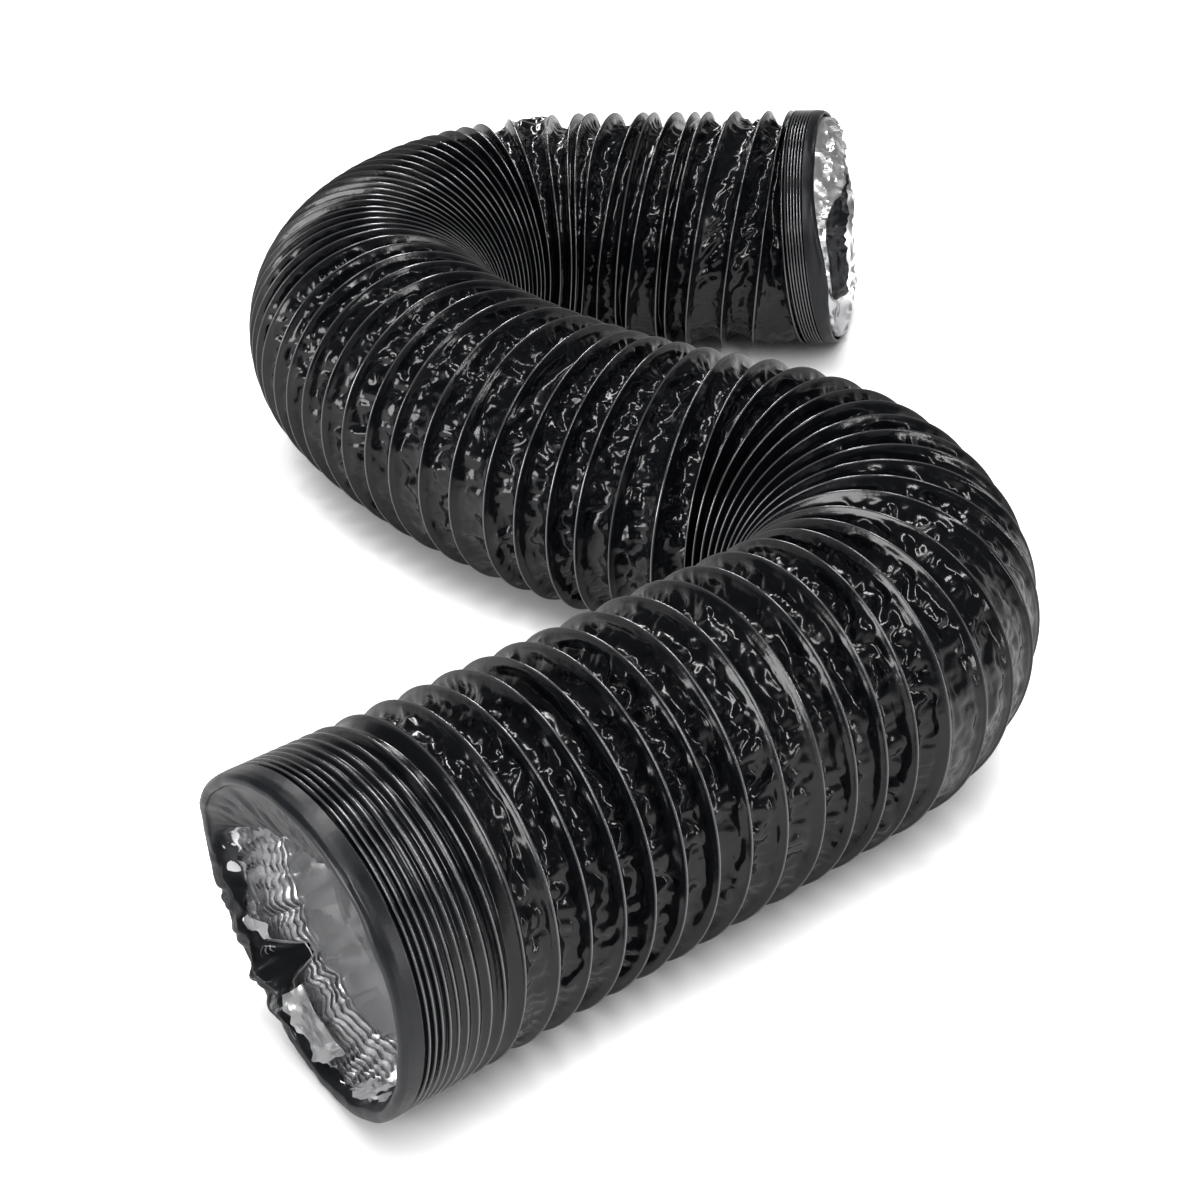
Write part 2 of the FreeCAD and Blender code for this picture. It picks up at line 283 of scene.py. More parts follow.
class Strip:
    """The film between neighbouring turns, unwound: columns run along the wire, rows across.

    It lies inset from the crest, it has its spare besides its own width, and the floor of its fold
    is flatter the higher its bend.
    """

    def __init__(self, first, last, columns, rows, sizes, inset=0.0, bend=1.75, spare=0.0):
        self.first, self.columns, self.rows = first, columns, rows
        self.turn = first + np.arange((last - first) * columns + 1)[:, None] / columns
        self.here, self.after = station_of(self.turn), station_of(self.turn + 1)
        self.angle = SEAM_ANGLE - 2 * math.pi * self.turn
        middle = (self.here + self.after) / 2
        self.stretch = 1 - curvature_at(middle) * CREST_RADIUS * np.cos(self.angle)
        self.gap = (self.after - self.here) * self.stretch
        self.bead = np.minimum(sizes.bead_radius, 0.42 * self.gap)
        self.width = np.maximum(slack_width(self.turn, sizes), 1.03 * self.gap) + spare
        self.shape(sizes, inset, bend)

    def shape(self, sizes, inset, bend):
        """Fold the strip evenly inward between its beads."""
        rows = self.rows
        share = (np.arange(rows + 1)[None, :] - BEAD_ROWS) / (rows - 2 * BEAD_ROWS)
        share = np.clip(share, 0, 1) + 0 * self.turn
        root = self.bead + 0 * share
        side = root + share * (self.gap - 2 * root)
        half = self.width / 2
        depth = FOLD_SHARE * np.sqrt(np.maximum(half ** 2 - (self.gap / 2) ** 2, 1e-6))
        depth = depth + inset
        start = 1.3 * sizes.bead_radius + inset * 0.6
        drop = start + np.maximum(depth - start, LEAST_FOLD) * (1 - np.abs(1 - 2 * share) ** bend)
        for row, (across, down) in enumerate(BEAD):
            side[:, row] = (across * root)[:, row]
            side[:, rows - row] = (self.gap - across * root)[:, rows - row]
            drop[:, row] = drop[:, rows - row] = down * sizes.bead_radius + inset
        self.share, self.side, self.drop = share, side, drop

    def points(self, sizes, side=0.0, drop=0.0):
        """Places of the strip's points, moved by extra amounts across and inward."""
        station = self.here + (self.side + side) / self.stretch
        return place(station, self.angle + 0 * station, CREST_RADIUS - self.drop - drop, sizes)

    def unrolled(self, sizes):
        """Places on the flat film in millimetres: along the wire and across the strip."""
        return self.turn * 2 * math.pi * CREST_RADIUS / MM, self.share * sizes.film_width / MM

    def relaxed(self, sizes, passes):
        """Let the film take its own length: what the fold shortens buckles into creases."""
        u, v = self.unrolled(sizes)
        size = np.clip(self.gap / 0.02, 0.2, 1.2) * MM
        calm = self.points(sizes).astype(np.float32)
        points = self.settled(self.disturbed(sizes, size), sizes, passes)
        creased = smooth(0.02, 0.24, self.share) * smooth(0.02, 0.24, 1 - self.share)
        points = calm + creased[..., None].astype(np.float32) * (points - calm)
        crushed = 0.55 + 0.45 * smooth(-0.5, 0.4, wave(u / 60, self.turn * 0.9, 8))
        folds = 2.3 * crumple(u / 17, v / 13 + 7 * self.turn, 9)
        folds += 1.5 * zigzag(u / 9, v / 9 + 11 * self.turn, 10)
        dip = creased * size * crushed * folds
        inward = (self.axis(sizes) - calm[:, :1]) / CREST_RADIUS
        return points + (dip[..., None] * inward).astype(np.float32)

    def axis(self, sizes):
        """Points of the duct's axis beside each column of the strip."""
        return place((self.here + self.after) / 2, self.angle, 0 * self.here, sizes)

    def disturbed(self, sizes, size):
        """The even fold with slight folds across it, which tell it where to buckle."""
        u, v = self.unrolled(sizes)
        free = np.minimum(1, 5 * self.share) * np.minimum(1, 5 * (1 - self.share))
        drop = free * size * (1.7 * zigzag(u / 17, v / 14, 1) + 2.6 * wave(u / 33, v / 19, 2))
        side = free * size * 1.8 * zigzag(u / 19, v / 14, 3)
        return self.points(sizes, side, drop).astype(np.float32)

    def springs(self, sizes):
        """Columns and rows that each kind of spring spans, its length at rest and its stiffness."""
        u, v = self.unrolled(sizes)
        along = 2 * math.pi * CREST_RADIUS / self.columns
        calmer = 0.4 + 0.6 * smooth(-0.35, 0.35, wave(u / 46, self.turn * 1.3, 7))
        shorter = calmer * self.drop / CREST_RADIUS
        along = (along * (1 + 0.045 * wave(u / 26, v / 17, 4) - shorter)).astype(np.float32)
        free_rows = self.rows - 2 * BEAD_ROWS
        across = ((self.width - 4.6 * self.bead) / free_rows + 0 * v).astype(np.float32)
        slant = np.sqrt(along ** 2 + across ** 2)
        return ((1, 0, along, 1.0), (0, 1, across, 1.0), (1, 1, slant, 0.5), (1, -1, slant, 0.5),
                (2, 0, 2 * along, 0.2), (4, 0, 4 * along, 0.15),
                (0, 2, 2 * across, 0.4), (0, 4, 4 * across, 0.25))

    def settled(self, points, sizes, passes):
        """Let the springs move the points, which stay at the wire and between its turns."""
        springs, walls = self.springs(sizes), self.walls(sizes)
        speed = np.zeros_like(points)
        for count in range(passes):
            pull = np.zeros_like(points)
            for column, row, rest, stiffness in springs:
                one, other = neighbours(column, row)
                gap = points[other] - points[one]
                length = np.sqrt(np.einsum("ijk,ijk->ij", gap, gap))
                gap *= (0.5 * stiffness * (1 - rest[one] / length))[..., None]
                pull[one] += gap
                pull[other] -= gap
            speed = SPEED_KEPT * speed + SPRING_STEP * pull
            speed[:, :HELD_ROWS] = speed[:, -HELD_ROWS:] = 0
            points += speed
            if (count + 1) % PASSES_TO_WALL == 0:
                for corner, normal, margin in walls:
                    past = margin - np.einsum("ijk,ik->ij", points - corner, normal)
                    past[:, :HELD_ROWS] = past[:, -HELD_ROWS:] = 0
                    points += np.maximum(past, 0)[..., None] * normal[:, None]
        return points

    def walls(self, sizes):
        """The planes through the two turns of wire that hold a strip's film between them."""
        found = []
        margin = np.minimum(0.0007, 0.15 * self.gap)
        for station, way in ((self.here, 1), (self.after, -1)):
            corner = place(station, self.angle, CREST_RADIUS + 0 * station, sizes)
            heading = centre_at(station)[2]
            normal = way * np.stack((np.cos(heading), np.sin(heading), 0 * heading), axis=-1)[:, 0]
            found.append((corner.astype(np.float32), normal.astype(np.float32), margin))
        return found

    def lining(self, points, sizes):
        """Every other point of the laid film, moved inside it for the foil that lines it."""
        inner = points[::2, ::2]
        normal = np.cross(np.gradient(inner, axis=0), np.gradient(inner, axis=1))
        normal /= np.maximum(np.linalg.norm(normal, axis=-1, keepdims=True), 1e-12)
        middle = self.axis(sizes)[::2]
        inward = np.einsum("ijk,ijk->ij", normal[:, :2], (middle - inner)[:, :2]).mean()
        depth = LINING_GAP + LINING_SLACK * np.sin(math.pi * self.share[::2, ::2]) ** 2
        inner = inner + math.copysign(1, inward) * depth[..., None] * normal
        for corner, normal, _ in self.walls(sizes):
            past = 0.0002 - np.einsum("ijk,ik->ij", inner - corner[::2], normal[::2])
            inner += np.maximum(past, 0)[..., None] * normal[::2, None]
        return inner

    def sheet(self, points, first, last):
        """Points of some of the strip's turns, laid side by side in a grid."""
        columns, rows = self.columns, self.rows
        turns = []
        for turn in range(first - self.first, last - self.first):
            wound = points[turn * columns:(turn + 1) * columns + 1]
            turns.append(wound[:, :rows].transpose(1, 0, 2))
        turns.append(wound[:, rows:].transpose(1, 0, 2))
        return np.concatenate(turns)


def neighbours(column, row):
    """Slices of a grid and of the same grid some columns and rows on."""
    rows = slice(None, -row or None) if row >= 0 else slice(-row, None)
    next_rows = slice(row, None) if row >= 0 else slice(None, row)
    return (slice(None, -column or None), rows), (slice(column, None), next_rows)


def sheet_object(name, points, rows=0, inward=False):
    """A flat grid given a sheet's shape, its meeting edges joined and its crests marked for a
    painted highlight.

    Its faces look outward, or inward for a lining.
    """
    lines, columns = points.shape[0], points.shape[1]
    bpy.ops.object.select_all(action="DESELECT")
    bpy.ops.mesh.primitive_grid_add(x_subdivisions=columns - 1, y_subdivisions=lines - 1, size=1)
    piece = bpy.context.object
    piece.name = piece.data.name = name
    piece.data.vertices.foreach_set("co", points.reshape(-1))
    if rows:
        # Mark the crest rows, where the film's material paints a highlight line over the wire.
        from_crest = np.minimum(np.arange(lines) % rows, -np.arange(lines) % rows)
        crest = np.interp(from_crest, (0, 1, 2), (1, 0.2, 0))
        crest_highlight_paint = piece.data.attributes.new("crest", "FLOAT", "POINT")
        crest_highlight_paint.data.foreach_set("value", np.repeat(crest, columns))
    piece.data.update()
    bpy.ops.object.mode_set(mode="EDIT")
    bpy.ops.mesh.select_all(action="SELECT")
    bpy.ops.mesh.remove_doubles(threshold=1e-6)
    if inward:
        bpy.ops.mesh.flip_normals()
    bpy.ops.object.mode_set(mode="OBJECT")
    bpy.ops.object.shade_smooth()
    return piece


def fold_ends(fold, first, last, sizes):
    """Where a length starts and stops bending; in a bend, clear of its first and last turns."""
    if "bend" not in fold:
        x, y, _ = centre_at(np.array(FOLDS[fold]))
        return [(float(x[k]), float(y[k]), CREST_RADIUS) for k in (0, 1)]
    rings = []
    for turn in (first, last):
        wound = turn + np.linspace(0, 1, 49)
        angle = SEAM_ANGLE - 2 * math.pi * wound
        rings.append(place(station_of(wound), angle, CREST_RADIUS + 0 * wound, sizes))
    middle = rings[0].mean(axis=0)
    ahead = rings[1].mean(axis=0) - middle
    ahead[2] = 0
    ahead /= np.linalg.norm(ahead)
    reach = ((rings[0] - middle) @ ahead).max(), ((rings[1] - middle) @ ahead).min()
    if reach[0] >= reach[1]:
        raise RuntimeError(f"the turns at the ends of {fold} leave it no room to bend")
    return [tuple(float(part) for part in middle + share * ahead) for share in reach]


def across_fold(piece, length, sizes):
    """Let a piece follow one body; across a fold, find the fold's ends and bake the piece in place.
    """
    _, first, last, first_body, last_body, fold = length
    if fold is None:
        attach(piece, first_body)
        return
    start, end = fold_ends(fold, first, last, sizes)
    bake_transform(piece)


def finish_sheet(piece, material):
    """Give a piece its finish."""
    piece.data.materials.clear()
    piece.data.materials.append(material)


def sections_of(length):
    """Packed sections in a length: its flexible one, and the stiff one before that if it is free."""
    *_, body, _, fold = length
    if fold is None:
        return [body]
    return ([] if body in OWN_LENGTH else [body]) + [f"{fold}_flex"]


def stand_for(kind, length):
    """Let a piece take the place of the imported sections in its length."""
    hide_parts(*[f"{kind}_{section}" for section in sections_of(length)])


LAID = {}


def laid_film(sizes):
    """The free film between the cuffs, creased once and kept for its lining."""
    if "run" not in LAID:
        passes = sizes.passes
        strip = Strip(NEAR_CUFF_TURN, FAR_CUFF_TURN, sizes.columns, sizes.film_rows, sizes)
        LAID["run"] = strip, strip.relaxed(sizes, passes)
    return LAID["run"]


def pleats(strip, sizes):
    """Foil gathered between the close turns of a cuff: sharp folds that nest in each other."""
    u = strip.turn * 2 * math.pi * CREST_RADIUS / MM
    deep = 1 - np.abs(1 - 2 * strip.share)
    jog = 0.8 * zigzag(u / 8.2, 0.16 * strip.turn, 11) + 0.2 * zigzag(u / 5.5, 0.9 * strip.turn, 12)
    side = deep * np.minimum(strip.gap, 0.007) * 1.15 * jog
    drop = deep * 0.0012 * np.abs(zigzag(u / 12, 0.8 * strip.turn, 14))
    return strip.points(sizes, side, drop)


# Finishes
FINE_RELIEF = 0.0006


def new_material(name):
    """An empty node material with its surface shader."""
    material = bpy.data.materials.new(name)
    material.use_nodes = True
    tree = material.node_tree
    return material, tree, tree.nodes["Principled BSDF"]


def add_node(tree, kind, values=None):
    """A node with values set on its inputs."""
    node = tree.nodes.new(kind)
    for socket, value in (values or {}).items():
        node.inputs[socket].default_value = value
    return node


def ranged(tree, value, values):
    """A value brought from one range into another."""
    ramp = add_node(tree, "ShaderNodeMapRange", values)
    tree.links.new(value, ramp.inputs["Value"])
    return ramp.outputs["Result"]


def object_pattern(tree, kind, values, output):
    """A texture that stays with the piece that it is on."""
    texture = add_node(tree, kind, values)
    coordinates = add_node(tree, "ShaderNodeTexCoord")
    tree.links.new(coordinates.outputs["Object"], texture.inputs["Vector"])
    return texture.outputs[output]


def raise_surface(tree, shader, height, strength):
    """Fine relief on a surface."""
    bump = add_node(tree, "ShaderNodeBump", {"Strength": strength, "Distance": FINE_RELIEF})
    tree.links.new(height, bump.inputs["Height"])
    tree.links.new(bump.outputs["Normal"], shader.inputs["Normal"])


def film_material(colours, name="black_film", sheen_lift=1.0, smoothest=0.12, roughest=0.23):
    """Near black film, with fine grain and a little dust in its gloss, and a painted highlight: pale
    and metallic over the wire.
    """
    material, tree, shader = new_material(name)
    cloud = object_pattern(tree, "ShaderNodeTexNoise", {"Scale": 60, "Detail": 3}, "Fac")
    gloss = {"From Min": 0.35, "From Max": 0.7, "To Min": smoothest, "To Max": roughest}
    tree.links.new(ranged(tree, cloud, gloss), shader.inputs["Roughness"])
    grain = object_pattern(tree, "ShaderNodeTexNoise", {"Scale": 260, "Detail": 5}, "Fac")
    raise_surface(tree, shader, grain, 0.22)
    # Painted highlight: along the marked crest rows the film turns pale and metallic, which draws a
    # bright line over each turn of wire.
    crest = add_node(tree, "ShaderNodeAttribute")
    crest.attribute_name = "crest"
    mixed = add_node(tree, "ShaderNodeMix")
    mixed.data_type = "RGBA"
    # Painted sheen: a lift above 1 makes the film paler, standing in for part of the grey sheen on
    # the mouths.
    mixed.inputs["A"].default_value = (*(sheen_lift * part for part in colours.film), 1)
    mixed.inputs["B"].default_value = (*colours.crest, 1)
    tree.links.new(crest.outputs["Fac"], mixed.inputs["Factor"])
    tree.links.new(mixed.outputs["Result"], shader.inputs["Base Color"])
    tree.links.new(crest.outputs["Fac"], shader.inputs["Metallic"])
    shader.inputs["IOR"].default_value = 1.5
    return material


def foil_material(colours, name="bright_foil", metal=0.88):
    """Bright foil, crushed into small facets."""
    material, tree, shader = new_material(name)
    facets = object_pattern(tree, "ShaderNodeTexVoronoi", {"Scale": 150}, "Distance")
    grain = object_pattern(tree, "ShaderNodeTexNoise", {"Scale": 90, "Detail": 5}, "Fac")
    crushed = add_node(tree, "ShaderNodeMath")
    crushed.operation = "ADD"
    tree.links.new(facets, crushed.inputs[0])
    tree.links.new(grain, crushed.inputs[1])
    raise_surface(tree, shader, crushed.outputs["Value"], 0.2)
    gloss = ranged(tree, grain, {"To Min": 0.24, "To Max": 0.4})
    tree.links.new(gloss, shader.inputs["Roughness"])
    shader.inputs["Base Color"].default_value = (*colours.foil, 1)
    shader.inputs["Metallic"].default_value = metal
    return material


def wire_material():
    """Drawn spring wire."""
    material, tree, shader = new_material("spring_wire")
    grain = object_pattern(tree, "ShaderNodeTexNoise", {"Scale": 700}, "Fac")
    gloss = ranged(tree, grain, {"To Min": 0.2, "To Max": 0.4})
    tree.links.new(gloss, shader.inputs["Roughness"])
    shader.inputs["Base Color"].default_value = (0.5, 0.5, 0.52, 1)
    shader.inputs["Metallic"].default_value = 1.0
    return material


def finish_named(name, maker, *arguments):
    """A finish made once and shared."""
    return bpy.data.materials.get(name) or maker(*arguments)


def mouth_film(colours):
    """The film at the mouths: a duller gloss, and a paler colour that paints in part of their grey
    sheen.
    """
    return finish_named("satin_film", film_material, colours, "satin_film", 2.0, 0.3, 0.42)


# Properties
class DuctSizes(bpy.types.PropertyGroup):
    """Sizes of the film and its folds."""
    columns: bpy.props.IntProperty(
        name="Columns", description="Points round the film", default=380, min=24)
    film_rows: bpy.props.IntProperty(
        name="Rows", description="Rows of faces between two turns", default=22, min=8)
    film_width: bpy.props.FloatProperty(
        name="Film width", description="Film between two turns, laid flat",
        default=0.0385, unit="LENGTH")
    bead_radius: bpy.props.FloatProperty(
        name="Bead radius", description="Radius of the film over the wire",
        default=0.0008, unit="LENGTH")
    wire_radius: bpy.props.FloatProperty(
        name="Wire radius", description="Radius of the spring wire", default=0.0005,
        unit="LENGTH")
    passes: bpy.props.IntProperty(
        name="Passes", description="Steps in which the film takes its own length",
        default=90, min=0)
    far_cuff_swing: bpy.props.FloatProperty(
        name="Far cuff swing", description="Turn of the far mouth towards the front",
        default=math.radians(14), subtype="ANGLE")
    far_cuff_lift: bpy.props.FloatProperty(
        name="Far cuff lift", description="Tilt of the far mouth upward",
        default=math.radians(12), subtype="ANGLE")


class DuctColours(bpy.types.PropertyGroup):
    """Colours of the duct and its stage."""
    film: bpy.props.FloatVectorProperty(
        name="Film", description="Colour of the film", default=(0.0038, 0.0042, 0.0055),
        subtype="COLOR", min=0, max=1)
    # Painted highlight: this pale colour on the film over the wire stands for the bright line that
    # light draws along each crest; the film there is no paler.
    crest: bpy.props.FloatVectorProperty(
        name="Crest", description="Colour of the film where the wire stretches it",
        default=(0.28, 0.28, 0.29), subtype="COLOR", min=0, max=1)
    foil: bpy.props.FloatVectorProperty(
        name="Foil", description="Colour of the foil", default=(0.92, 0.92, 0.93),
        subtype="COLOR", min=0, max=1)
    floor: bpy.props.FloatVectorProperty(
        name="Floor", description="Colour of the floor", default=(0.9, 0.9, 0.9),
        subtype="COLOR", min=0, max=1)


# Operators
class DUCT_OT_film(bpy.types.Operator):
    """Wind the film over every length of the duct and let it crease"""
    bl_idname = "duct.film"
    bl_label = "Film"

    def execute(self, context):
        sizes, colours = context.scene.duct_sizes, context.scene.duct_colours
        material = finish_named("black_film", film_material, colours)
        for length in LENGTHS:
            name, first, last = length[:3]
            if "cuff" in name:
                last = min(last, TURNS - 1)
                rows = sizes.film_rows // 2
                strip = Strip(first, last, sizes.columns, rows, sizes, bend=1.2)
                points = strip.points(sizes)
            else:
                strip, points = laid_film(sizes)
            piece = sheet_object(f"film_{name}", strip.sheet(points, first, last), strip.rows)
            finish_sheet(piece, material)
            stand_for("jacket", length)
            across_fold(piece, length, sizes)
        return {"FINISHED"}


class DUCT_OT_foil(bpy.types.Operator):
    """Line every length of the duct with foil"""
    bl_idname = "duct.foil"
    bl_label = "Foil"

    def execute(self, context):
        sizes, colours = context.scene.duct_sizes, context.scene.duct_colours
        material = finish_named("bright_foil", foil_material, colours)
        for length in LENGTHS:
            name, first, last = length[:3]
            if name == "near_cuff":
                sheet = near_pleat_points(sizes)
            elif name == "far_cuff":
                last = TURNS - 1
                strip = Strip(first, last, 240, 8, sizes, inset=0.003, bend=1.0, spare=0.008)
                sheet = strip.sheet(pleats(strip, sizes), first, last)
            else:
                strip, points = laid_film(sizes)
                coarse = Strip(strip.first, FAR_CUFF_TURN, sizes.columns // 2,
                               sizes.film_rows // 2, sizes)
                sheet = coarse.sheet(strip.lining(points, sizes), first, last)
            piece = sheet_object(f"foil_{name}", sheet, inward=True)
            sharp = 6 if "cuff" in name else 24
            bpy.ops.object.shade_smooth_by_angle(angle=math.radians(sharp))
            finish_sheet(piece, material)
            stand_for("liner", length)
            across_fold(piece, length, sizes)
        return {"FINISHED"}


WIRE_POINTS = 60


class DUCT_OT_wire(bpy.types.Operator):
    """Wind the spring wire under the film's crests"""
    bl_idname = "duct.wire"
    bl_label = "Wire"

    def execute(self, context):
        sizes = context.scene.duct_sizes
        material = finish_named("spring_wire", wire_material)
        for length in LENGTHS:
            name, first, last = length[:3]
            turn = np.linspace(first, last, (last - first) * WIRE_POINTS + 1)
            angle = SEAM_ANGLE - 2 * math.pi * turn
            radius = CREST_RADIUS - sizes.bead_radius + 0 * turn
            points = place(station_of(turn), angle, radius, sizes)
            piece = wire_object(f"wire_length_{name}", points, sizes.wire_radius)
            finish_sheet(piece, material)
            stand_for("wire", length)
            across_fold(piece, length, sizes)
        return {"FINISHED"}


def wire_object(name, points, radius):
    """A round wire along a line of points, as a closed mesh."""
    bpy.ops.object.select_all(action="DESELECT")
    curve = bpy.data.curves.new(name, "CURVE")
    curve.dimensions = "3D"
    spline = curve.splines.new("POLY")
    spline.points.add(len(points) - 1)
    spline.points.foreach_set("co", np.column_stack((points, np.ones(len(points)))).reshape(-1))
    curve.bevel_depth = radius
    curve.bevel_resolution = 1
    curve.use_fill_caps = True
    piece = bpy.data.objects.new(name, curve)
    bpy.context.scene.collection.objects.link(piece)
    piece.select_set(True)
    bpy.context.view_layer.objects.active = piece
    bpy.ops.object.convert(target="MESH")
    bpy.ops.object.shade_smooth()
    return bpy.context.object


# Mouths, in millimetres from the outermost turn of wire
# Section of each rim: share of the rows, distance out and radius
NEAR_RIM_ROWS = (0, 0.12, 0.26, 0.36, 0.45, 0.54, 0.62)
NEAR_RIM_OUT = (0, -4.5, -9.0, -11.6, -12.4, -11.2, -8.5)
NEAR_RIM_RADII = (CREST_MM, 104.4, 103.8, 102.2, 99.6, 97.4, 96.6)
FAR_RIM_ROWS = (0, 0.35, 0.6, 0.75, 0.88, 1)
FAR_RIM_OUT = (0, 4.0, 6.6, 7.6, 7.0, 4.5)
FAR_RIM_RADII = (CREST_MM, 104.2, 103.6, 102.4, 101.2, 100.8)
# Torn pieces: where each starts or ends along the axis, its radius and its angles in degrees
SCRAP_DEPTH = 17
SCRAP_RADIUS = 94.6
SKIRT_RADIUS = 98.4
SKIRT_START = -6
PATCH_START = 17
PATCH_ANGLES = (126, 196)


def bearing(angle):
    """Degrees round the axis from the side that faces the camera, upward, from -180 to 180."""
    return (-np.degrees(angle)) % 360 - 180


def ring_angles(columns):
    """Angles once round the axis from the seam."""
    return SEAM_ANGLE + 2 * math.pi * np.arange(columns + 1)[None, :] / columns


def ring_share(angle):
    """Share of the way round a ring from the seam."""
    return (angle - SEAM_ANGLE) / (2 * math.pi)


def apart(angle):
    """0 at the seam of a ring and 1 away from it."""
    share = ring_share(angle)
    return smooth(0, 0.03, share) * smooth(0, 0.03, 1 - share)


def torn(u, small, large, salt):
    """A torn edge: small and large teeth, each with a height and a width."""
    edge = small[0] * zigzag(u / small[1], 0 * u, salt)
    return edge + large[0] * zigzag(u / large[1], 0 * u, salt + 1)


def mouth_points(out, angle, radius, sizes, station=0.0):
    """Points at distances out and radii in millimetres, measured from a station."""
    return place(station + out * MM, angle + 0 * out, radius * MM, sizes)


def near_reach(angle):
    """How far the film reaches back into the near mouth, round the rim."""
    round_rim = bearing(angle) % 360
    stops = (0, 20, 40, 62, 90, 130, 152, 168, 205, 216, 224, 228, 233, 240, 268, 300, 330, 360)
    reach = np.interp(round_rim, stops,
                      (28, 36, 44, 50, 48, 36, 28, 12, 9, 15, 44, 41, 14, 7, 6, 12, 24, 28))
    teeth = torn(round_rim, (1.8, 2.3), (2.4, 7.3), 21)
    return reach + teeth * np.clip(reach / 14, 0.4, 1) * apart(angle)


def near_lining(angle, distance):
    """Distance out and radius of the film turned in at the near mouth."""
    round_rim = bearing(angle) % 360
    stops = (0, 20, 40, 62, 90, 130, 152, 168, 200, 240, 290, 330, 360)
    slope = np.interp(round_rim, stops, (44, 50, 56, 62, 68, 64, 56, 30, 12, 9, 12, 34, 44))
    slope = np.radians(slope)
    u = CREST_MM * angle
    loose = smooth(0, 12, distance) * apart(angle)
    radius = NEAR_RIM_RADII[-1] - distance * np.sin(slope)
    radius = radius + loose * 2.0 * wave(u / 7, distance / 30, 25)
    out = rim_share(angle) * NEAR_RIM_OUT[-1] + distance * np.cos(slope)
    return out + loose * 1.7 * crumple(u / 12, distance / 17, 26), radius


def rim_share(angle):
    """How much of the near rim stands out: less where the mouth is pushed in."""
    return np.interp(bearing(angle) % 360, (0, 140, 180, 250, 300, 335, 360),
                     (1, 1, 0.5, 0.3, 0.35, 0.9, 1))


def near_rim_points(sizes):
    """Film from the first turn round the near rim and back inside."""
    angle = ring_angles(360)
    row = np.linspace(0, 1, 36)[:, None]
    out = np.interp(row, NEAR_RIM_ROWS, NEAR_RIM_OUT) * rim_share(angle)
    out[0] = station_of(1 - ring_share(angle))[0] / MM
    radius = np.interp(row, NEAR_RIM_ROWS, NEAR_RIM_RADII) + 0 * angle
    rolled = NEAR_RIM_ROWS[-1]
    inside = np.clip((row - rolled) / (1 - rolled), 0, 1)
    lined_out, lined_radius = near_lining(angle, inside * near_reach(angle))
    out = np.where(inside > 0, lined_out, out)
    radius = np.where(inside > 0, lined_radius, radius)
    loose = smooth(0.1, 0.4, row) * apart(angle)
    left = np.exp(-((bearing(angle) % 360 - 215) / 40) ** 2)
    u, v = CREST_MM * angle, 60 * row
    ripples = 0.8 * wave(u / 15, v / 26, 23) + 3.4 * left * wave(u / 10, v / 16, 28)
    radius = np.minimum(radius + loose * ripples, CREST_MM)
    out = out + loose * (0.8 * wave(u / 19, v / 30, 24) + 4.2 * left * crumple(u / 17, v / 22, 29))
    return mouth_points(out, angle, radius, sizes)


def near_pleat_points(sizes):
    """Foil gathered behind the near rim: sharp folds that nest, then a crushed tube further in."""
    angle = ring_angles(400)
    folds, rows = 17, 4
    turn = (np.arange(folds * rows + 1) / rows)[:, None]
    deep = 1 - np.abs(1 - 2 * (turn % 1))
    u = 98 * angle
    calm = smooth(9.5, 11.5, turn)
    jog = 3.3 * zigzag(u / 7.3, 0.16 * turn, 11) + 2.1 * zigzag(u / 3.6, 0.4 * turn, 12)
    out = 3 + 3.5 * turn + 0.045 * turn ** 2 + np.maximum(turn - 11, 0) ** 2
    out = out + jog * (1 - 0.5 * calm) * apart(angle)
    base = 100.2 - 7.5 * smooth(22, 42, out) - 6 * smooth(55, 100, out)
    ragged = 0.75 + 0.25 * zigzag(u / 13, turn, 14) * apart(angle)
    creased = 6 * calm * np.abs(zigzag(u / 15, out / 17, 15)) * apart(angle)
    radius = base - 5.6 * (1 - calm) * deep * ragged - creased
    return mouth_points(out, angle, radius, sizes)


def near_hem_points(sizes):
    """Foil behind the film's torn edge inside the near mouth."""
    angle = ring_angles(360)
    row = np.linspace(0, 1, 10)[:, None]
    width = 9
    teeth = 0.8 + torn(CREST_MM * angle, (3.0, 4), (3.0, 15), 27) * apart(angle)
    distance = near_reach(angle) - width + row * (width + teeth)
    out, radius = near_lining(angle, np.maximum(distance, 1))
    return mouth_points(out + 1.3, angle, radius + 0.7, sizes)


def near_scrap_points(start, end, sizes):
    """A torn piece of foil lying on the film inside the near rim."""
    angle = np.radians(np.linspace(start, end, 44))[None, :]
    row = np.linspace(0, 1, 12)[:, None]
    share = (np.degrees(angle) - start) / (end - start)
    taper = np.sqrt(np.clip(4 * share * (1 - share), 0, 1))
    u = 96 * angle
    front = 1 - 9 * rim_share(angle) * taper + torn(u, (1.6, 4.1), (2, 11), 31)
    out = front + row * (SCRAP_DEPTH - front)
    creased = 5 * np.abs(zigzag(u / 10, out / 8, 33)) + 1.6 * np.abs(zigzag(u / 5, out / 5, 34))
    return mouth_points(out, angle, SCRAP_RADIUS - creased, sizes)


def far_rim_points(sizes):
    """Film from the last turn round the far rim, wider low on the camera's side."""
    angle = ring_angles(300)
    row = np.linspace(0, 1, 16)[:, None]
    wide = 1 + 0.9 * np.exp(-((bearing(angle) + 4) / 26) ** 2)
    out = np.interp(row, FAR_RIM_ROWS, FAR_RIM_OUT) * wide
    out[0] = (station_of(TURNS - ring_share(angle))[0] - WIRE_STATIONS[-1]) / MM
    radius = np.interp(row, FAR_RIM_ROWS, FAR_RIM_RADII)
    u = CREST_MM * angle
    loose = smooth(0.1, 0.5, row) * apart(angle)
    radius = radius - loose * 0.9 * np.abs(wave(u / 23, 3 * row, 41))
    out = out + loose * 1.0 * wave(u / 15, 2 * row, 42)
    return mouth_points(out, angle, radius, sizes, WIRE_STATIONS[-1])


